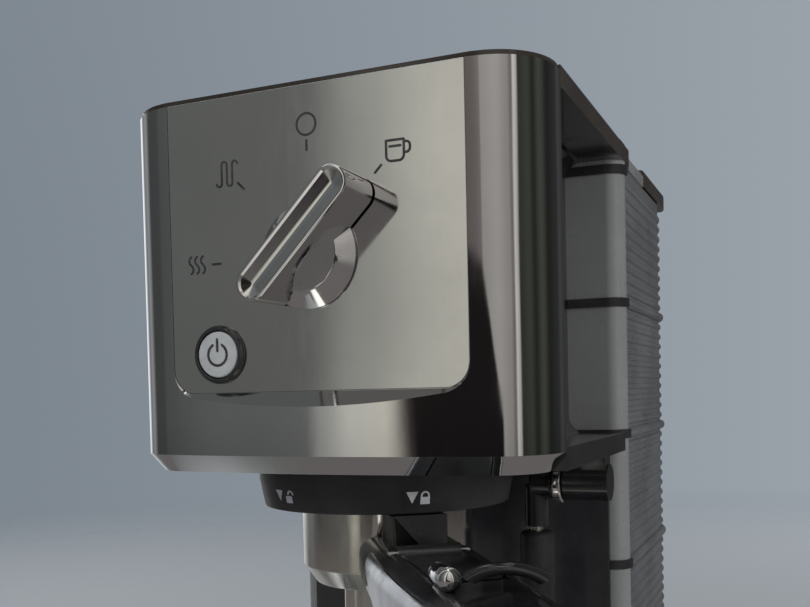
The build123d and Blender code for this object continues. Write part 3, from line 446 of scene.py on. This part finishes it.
# Pointer bar of the knob: a rounded rim round a long V-shaped trough
def makeKnobBar():
    s = knobBar
    low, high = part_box("knob_bar")
    dialLow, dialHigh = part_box("knob_dial")
    bm = bmesh.new()
    bmesh.ops.create_circle(bm, cap_ends=True, radius=s["half"] * mm, segments=56)
    bmesh.ops.rotate(bm, verts=bm.verts, cent=(0, 0, 0), matrix=Matrix.Rotation(math.pi / 56, 3, "Z"))
    ends = [v for v in bm.verts if v.co.y > 0], [v for v in bm.verts if v.co.y < 0]
    bmesh.ops.translate(bm, verts=ends[0], vec=(0, (s["upper"] - s["half"]) * mm, 0))
    bmesh.ops.translate(bm, verts=ends[1], vec=(0, (s["half"] - s["lower"]) * mm, 0))
    bmesh.ops.recalc_face_normals(bm, faces=bm.faces)
    face = bm.faces[:][0]
    if face.normal.z < 0:
        bmesh.ops.reverse_faces(bm, faces=[face])
    grown = bmesh.ops.extrude_face_region(bm, geom=[face])["geom"]
    tall = high.y - low.y - s["edge"] * mm
    bmesh.ops.translate(bm, verts=[g for g in grown if isinstance(g, bmesh.types.BMVert)], vec=(0, 0, tall))
    front = [g for g in grown if isinstance(g, bmesh.types.BMFace)]
    turns = [math.radians(30 * k) for k in range(4)]
    for a, b in zip(turns, turns[1:]):
        bmesh.ops.inset_region(bm, faces=front, use_boundary=True, use_even_offset=True,
                               thickness=s["edge"] * mm * (math.cos(a) - math.cos(b)),
                               depth=s["edge"] * mm * (math.sin(b) - math.sin(a)))
    inside = s["half"] - s["edge"] - s["rim"] - s["lip"] - 0.05
    cuts = [(s["rim"], 0.0), (s["lip"], -s["lip"])]
    cuts += [(inside / s["steps"], -(s["valley"] - s["lip"]) / s["steps"])] * s["steps"]
    for thickness, depth in cuts:
        bmesh.ops.inset_region(bm, faces=front, use_boundary=True, use_even_offset=True,
                               thickness=thickness * mm, depth=depth * mm)
    upright = Matrix.Rotation(math.radians(s["turn"]), 3, "Y") @ Matrix.Rotation(math.pi / 2, 3, "X")
    bmesh.ops.rotate(bm, verts=bm.verts, cent=(0, 0, 0), matrix=upright)
    middle = (dialLow + dialHigh) / 2
    bmesh.ops.translate(bm, verts=bm.verts, vec=(middle.x, high.y, middle.z))
    bmesh.ops.recalc_face_normals(bm, faces=bm.faces)
    finishPiece("knobBar", meshFrom(bm, "knobBar", 24.0), "selector_knob", "knobChrome",
                "knob_bar")


makeKnobBar()

clipTrim = dict(turn=38.0, half=10.2, start=54.0, end=95.0, under=151.5, thick=1.8, corner=3.0, barrel=2.5,
                pivot=153.0, pill=(-9.6, 102.0, 154.6), pillRadius=3.4, pillLength=8.0,
                arch=(5.0, 110.0, 149.2), archSpan=13.0, archRadius=2.7, archSwing=100.0)


# Where the handle's own straight-ahead frame sits on the machine
def handlePlace():
    low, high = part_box("group_collar")
    centre = (low + high) / 2
    turn = Matrix.Rotation(math.radians(clipTrim["turn"]), 4, "Z")
    return Matrix.Translation((centre.x, centre.y, 0.0)) @ turn


def clipPiece(name, bm, material):
    bmesh.ops.transform(bm, matrix=handlePlace(), verts=bm.verts)
    bmesh.ops.recalc_face_normals(bm, faces=bm.faces)
    finishPiece(name, meshFrom(bm, name, 40.0), "basket_clip", material, "basket_clip")


# Sprung basket clip: a flat lever sunk in the handle, a chrome pill and an arched thumb loop
def makeClip():
    s = clipTrim
    bm = bmesh.new()
    bmesh.ops.create_grid(bm, x_segments=1, y_segments=1, size=1.0)
    length = s["end"] - s["start"]
    bmesh.ops.scale(bm, verts=bm.verts, vec=(s["half"] * mm, length / 2 * mm, 1.0))
    bmesh.ops.bevel(bm, geom=bm.verts, affect="VERTICES", offset=s["corner"] * mm, segments=6, profile=0.5,
                    material=-1)
    face = bm.faces[:]
    grown = bmesh.ops.extrude_face_region(bm, geom=face)["geom"]
    top = [g for g in grown if isinstance(g, bmesh.types.BMFace)]
    bmesh.ops.translate(bm, verts=[g for g in grown if isinstance(g, bmesh.types.BMVert)],
                        vec=(0, 0, (s["thick"] - 0.3) * mm))
    bmesh.ops.inset_region(bm, faces=top, thickness=0.35 * mm, depth=0.3 * mm)
    bmesh.ops.translate(bm, verts=bm.verts, vec=(0, -(s["start"] + length / 2) * mm, s["under"] * mm))
    turned = Matrix.Translation((0, -s["start"] * mm, s["pivot"] * mm)) @ Matrix.Rotation(math.pi / 2, 4, "Y")
    bmesh.ops.create_cone(bm, cap_ends=True, segments=32, radius1=s["barrel"] * mm, radius2=s["barrel"] * mm,
                          depth=2 * s["half"] * mm, matrix=turned)
    clipPiece("clipLever", bm, "glossBlack")
    # pill: a ball stretched along the handle
    bm = bmesh.new()
    bmesh.ops.create_uvsphere(bm, u_segments=28, v_segments=18, radius=s["pillRadius"] * mm)
    for side in (-1, 1):
        half = [v for v in bm.verts if v.co.y * side > 1e-7]
        bmesh.ops.translate(bm, verts=half, vec=(0, side * s["pillLength"] / 2 * mm, 0))
    aside, reach, height = s["pill"]
    bmesh.ops.translate(bm, verts=bm.verts, vec=(aside * mm, -reach * mm, height * mm))
    clipPiece("clipPill", bm, "knobChrome")
    # loop: a round bar swept over the handle's top
    bm = bmesh.new()
    bmesh.ops.create_circle(bm, cap_ends=True, radius=s["archRadius"] * mm, segments=20,
                            matrix=Matrix.Rotation(math.pi / 2, 4, "X"))
    bmesh.ops.rotate(bm, verts=bm.verts, cent=(0, 0, 0), matrix=Matrix.Rotation(math.pi / 2, 3, "Z"))
    bmesh.ops.translate(bm, verts=bm.verts, vec=(0, 0, s["archSpan"] * mm))
    bmesh.ops.rotate(bm, verts=bm.verts, cent=(0, 0, 0),
                     matrix=Matrix.Rotation(math.radians(-s["archSwing"] / 2), 3, "Y"))
    bmesh.ops.spin(bm, geom=bm.verts[:] + bm.edges[:] + bm.faces[:], cent=(0, 0, 0), axis=(0, 1, 0),
                   angle=math.radians(s["archSwing"]), steps=28)
    bmesh.ops.scale(bm, verts=bm.verts, vec=(1.0, 1.3, 0.62))
    aside, reach, height = s["arch"]
    bmesh.ops.rotate(bm, verts=bm.verts, cent=(0, 0, 0), matrix=Matrix.Rotation(math.radians(-25), 3, "Z"))
    bmesh.ops.translate(bm, verts=bm.verts, vec=(aside * mm, -reach * mm, height * mm))
    clipPiece("thumbLoop", bm, "glossBlack")


makeClip()
print("pieces built by hand")


# Studio: pale floor that fades into the background, soft lights, and a room for the chrome
studio = dict(
    floorRadius=2.4, floorTone=(0.33, 0.35, 0.37), fadeFrom=0.45, fadeTo=1.7,
    backLeft=(0.20, 0.235, 0.27), backRight=(0.36, 0.40, 0.44), softTone=(0.34, 0.36, 0.38),
    sway=0.10,
)


def makeFloor():
    bm = bmesh.new()
    bmesh.ops.create_circle(bm, cap_ends=True, radius=studio["floorRadius"], segments=96)
    floor = bpy.data.objects.new("floor", meshFrom(bm, "floor", 30.0))
    scene.collection.objects.link(floor)
    floor.visible_glossy = False
    material, tree, shader, place = startMaterial("floorPale", {"Roughness": 0.6})
    shader.inputs["Base Color"].default_value = rgba(studio["floorTone"])
    away = addNode(tree, "ShaderNodeVectorMath", {0: place}, operation="LENGTH")
    kept = addNode(tree, "ShaderNodeMapRange", {
        "Value": away.outputs["Value"], "From Min": studio["fadeFrom"], "From Max": studio["fadeTo"],
        "To Min": 1.0, "To Max": 0.0}, interpolation_type="SMOOTHSTEP")
    tree.links.new(kept.outputs["Result"], shader.inputs["Alpha"])
    floor.data.materials.append(material)


# The room seen in the chrome: tone by bearing from straight ahead, in degrees, positive to the right
roomBands = (
    (-180, 0.045, 0.045, 0.044), (-154, 0.14, 0.14, 0.15), (-136, 1.25, 1.28, 1.32), (-122, 0.80, 0.82, 0.84),
    (-112, 0.20, 0.21, 0.215), (-98, 0.28, 0.29, 0.30), (-84, 0.06, 0.063, 0.06), (-66, 0.06, 0.065, 0.064),
    (-42, 0.13, 0.137, 0.135), (-29, 0.145, 0.15, 0.145), (-26, 0.36, 0.365, 0.34), (-21, 0.60, 0.59, 0.53),
    (-15, 0.68, 0.65, 0.56), (-12, 0.12, 0.09, 0.088), (-7, 0.05, 0.034, 0.036), (0, 0.14, 0.12, 0.115),
    (4, 0.33, 0.315, 0.295), (26, 0.38, 0.365, 0.345), (44, 0.30, 0.285, 0.265), (51, 0.16, 0.15, 0.14),
    (54, 0.62, 0.60, 0.56), (58, 0.50, 0.48, 0.45), (62, 0.035, 0.036, 0.032), (78, 0.05, 0.055, 0.045),
    (88, 0.022, 0.024, 0.02), (102, 0.06, 0.065, 0.055), (118, 0.018, 0.02, 0.017), (140, 0.03, 0.03, 0.03),
    (154, 0.06, 0.06, 0.06), (166, 0.04, 0.04, 0.039), (180, 0.045, 0.045, 0.044),
)
# and by height, from straight down to straight up
roomHeights = ((0.0, 0.05), (0.03, 0.10), (0.06, 2.2), (0.11, 2.6), (0.16, 0.5), (0.30, 0.25), (0.42, 0.50),
               (0.49, 0.95), (0.66, 1.05), (0.80, 1.4), (1.0, 2.0))
tableGlow = dict(tone=(0.150, 0.140, 0.136), fromHeight=0.455, toHeight=0.40)


# A dark shape ahead of the machine that spreads to the right as it comes down: its sides are parts of a turn
darkShape = dict(wide=0.585, narrow=0.485, foot=-0.03, crown=0.17, start=0.455, full=0.468, blur=0.004,
                 tone=(0.012, 0.010, 0.010))


def toneRamp(tree, value, stops, kind):
    ramp = addNode(tree, "ShaderNodeValToRGB", {"Fac": value})
    ramp.color_ramp.interpolation = kind
    while len(ramp.color_ramp.elements) < len(stops):
        ramp.color_ramp.elements.new(0.5)
    for element, (place, tone) in zip(ramp.color_ramp.elements, stops):
        element.position = place
        element.color = rgba(tone)
    return ramp.outputs["Color"]


def makeRoom():
    world = bpy.data.worlds.new("studioRoom")
    scene.world = world
    world.use_nodes = True
    tree = world.node_tree
    mirrored = tree.nodes["Background"]
    way = addNode(tree, "ShaderNodeTexCoord").outputs["Generated"]
    parts = addNode(tree, "ShaderNodeSeparateXYZ", {"Vector": way}).outputs
    front = addNode(tree, "ShaderNodeMath", {0: parts["Y"], 1: -1.0}, operation="MULTIPLY")
    bearing = addNode(tree, "ShaderNodeMath", {0: parts["X"], 1: front.outputs[0]}, operation="ARCTAN2")
    sway = addNode(tree, "ShaderNodeTexNoise", {"Vector": way, "Scale": 2.6, "Detail": 2.0})
    bent = addNode(tree, "ShaderNodeMath", {0: sway.outputs["Fac"], 1: studio["sway"], 2: bearing.outputs[0]},
                   operation="MULTIPLY_ADD")
    middle = studio["sway"] / 2
    turn = spread(tree, bent.outputs[0], 0.0, 1.0, middle - math.pi, middle + math.pi)
    behind = [((angle + 180) / 180, tone) for angle, *tone in roomBands if angle <= 0]
    ahead = [(angle / 180, tone) for angle, *tone in roomBands if angle >= 0]
    left = toneRamp(tree, spread(tree, turn, 0.0, 1.0, 0.0, 0.5), behind, "EASE")
    right = toneRamp(tree, spread(tree, turn, 0.0, 1.0, 0.5, 1.0), ahead, "EASE")
    side = addNode(tree, "ShaderNodeMath", {0: turn, 1: 0.5}, operation="GREATER_THAN")
    bands = blendColour(tree, side.outputs[0], left, right)
    shape = darkShape
    reach = spread(tree, parts["Z"], shape["wide"], shape["narrow"], shape["foot"], shape["crown"])
    gap = addNode(tree, "ShaderNodeMath", {0: turn, 1: reach}, operation="SUBTRACT")
    beyond = spread(tree, gap.outputs[0], 0.0, 1.0, -shape["blur"], shape["blur"])
    before = spread(tree, turn, 1.0, 0.0, shape["start"], shape["full"])
    clear = addNode(tree, "ShaderNodeMath", {0: beyond, 1: before}, operation="MAXIMUM")
    bands = blendColour(tree, clear.outputs[0], rgba(shape["tone"]), bands)
    heights = [(place, (value,) * 3) for place, value in roomHeights]
    tall = toneRamp(tree, spread(tree, parts["Z"], 0.0, 1.0, -1.0, 1.0), heights, "LINEAR")
    walls = blendColour(tree, 1.0, bands, tall, "MULTIPLY")
    level = spread(tree, parts["Z"], 0.0, 1.0, -1.0, 1.0)
    below = spread(tree, level, 1.0, 0.0, tableGlow["toHeight"], tableGlow["fromHeight"])
    table = blendColour(tree, below, rgba((0.0, 0.0, 0.0)), rgba(tableGlow["tone"]))
    tree.links.new(blendColour(tree, 1.0, walls, table, "LIGHTEN"), mirrored.inputs["Color"])
    soft = addNode(tree, "ShaderNodeBackground", {"Color": rgba(studio["softTone"])})
    seen = addNode(tree, "ShaderNodeBackground")
    across = spread(tree, parts["X"], 0.0, 1.0, -0.75, 0.25)
    tree.links.new(blendColour(tree, across, rgba(studio["backLeft"]), rgba(studio["backRight"])),
                   seen.inputs["Color"])
    rays = addNode(tree, "ShaderNodeLightPath").outputs
    lighting = addNode(tree, "ShaderNodeMixShader", {0: rays["Is Glossy Ray"], 1: soft.outputs[0],
                                                     2: mirrored.outputs[0]})
    chosen = addNode(tree, "ShaderNodeMixShader", {0: rays["Is Camera Ray"], 1: lighting.outputs[0],
                                                   2: seen.outputs[0]})
    tree.links.new(chosen.outputs[0], tree.nodes["World Output"].inputs["Surface"])


softLights = {
    "keyLight": dict(bearing=-40.0, height=1.05, distance=1.1, size=0.30, power=7.0),
    "fillLight": dict(bearing=-85.0, height=0.6, distance=1.5, size=0.7, power=6.0),
    "sideLight": dict(bearing=72.0, height=0.35, distance=1.4, size=0.8, power=15.0),
    "rimLight": dict(bearing=165.0, height=0.8, distance=1.3, size=0.5, power=7.0),
}


def makeLights():
    aim = Vector((0.0, 0.0, 0.18))
    for name, s in softLights.items():
        data = bpy.data.lights.new(name, "AREA")
        data.size = s["size"]
        data.energy = s["power"]
        lamp = bpy.data.objects.new(name, data)
        scene.collection.objects.link(lamp)
        angle = math.radians(s["bearing"])
        spot = Vector((math.sin(angle) * s["distance"], -math.cos(angle) * s["distance"], s["height"]))
        lamp.location = spot
        lamp.rotation_euler = (aim - spot).to_track_quat("-Z", "Y").to_euler()
        lamp.visible_camera = False
        lamp.visible_glossy = False


viewPoint = dict(place=(0.14481, -0.38818, 0.20339), turn=0.4056, tilt=-0.0342, lean=-0.0223,
                 lens=42.27, rise=0.15)


def makeCamera():
    s = viewPoint
    scene.view_settings.view_transform = "Standard"
    ahead = Vector((-math.sin(s["turn"]) * math.cos(s["tilt"]), math.cos(s["turn"]) * math.cos(s["tilt"]),
                    math.sin(s["tilt"])))
    right = Vector((math.cos(s["turn"]), math.sin(s["turn"]), 0.0))
    up = right.cross(ahead)
    cosLean, sinLean = math.cos(s["lean"]), math.sin(s["lean"])
    across = right * cosLean + up * sinLean
    upright = up * cosLean - right * sinLean
    data = bpy.data.cameras.new("camera")
    data.lens = s["lens"]
    data.sensor_width = 36.0
    data.shift_y = s["rise"]
    data.clip_start = 0.02
    camera = bpy.data.objects.new("camera", data)
    scene.collection.objects.link(camera)
    turned = Matrix((across, upright, -ahead)).transposed().to_4x4()
    camera.matrix_world = Matrix.Translation(s["place"]) @ turned
    scene.camera = camera


makeFloor()
makeRoom()
makeLights()
makeCamera()
print("studio ready")
